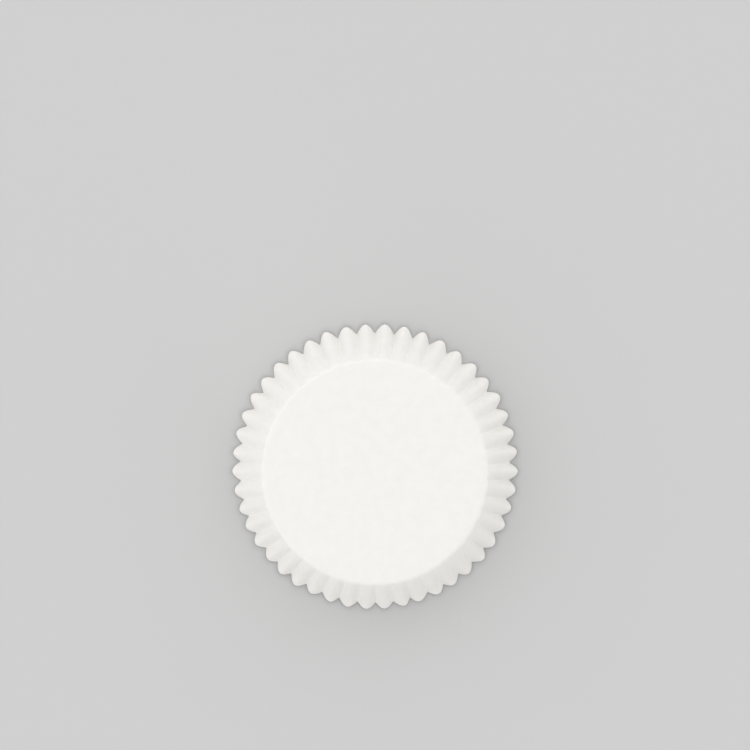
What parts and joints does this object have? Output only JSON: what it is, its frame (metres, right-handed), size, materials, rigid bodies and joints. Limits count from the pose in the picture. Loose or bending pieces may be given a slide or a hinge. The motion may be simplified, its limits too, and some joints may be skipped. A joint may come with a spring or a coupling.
{
  "type": "cupcake liner",
  "caption": "Round pleated paper liner that holds one cupcake while it bakes, with a flat base and a wall that spreads towards its mouth.",
  "frame": {"origin": "middle of the mouth, on the plane that the inner folds of the pleated edge stand on", "axes": "+Z runs from the mouth to the base, so the liner is stored mouth down with its base on top, as pictured; +Y points to the side where the wall spreads furthest"},
  "size_m": [0.0768, 0.0767, 0.0201],
  "materials": {
    "paper": "matt white greaseproof paper with a faint sheen"
  },
  "bodies": {
    "root": {"liner": "paper"}
  },
  "joints": []
}
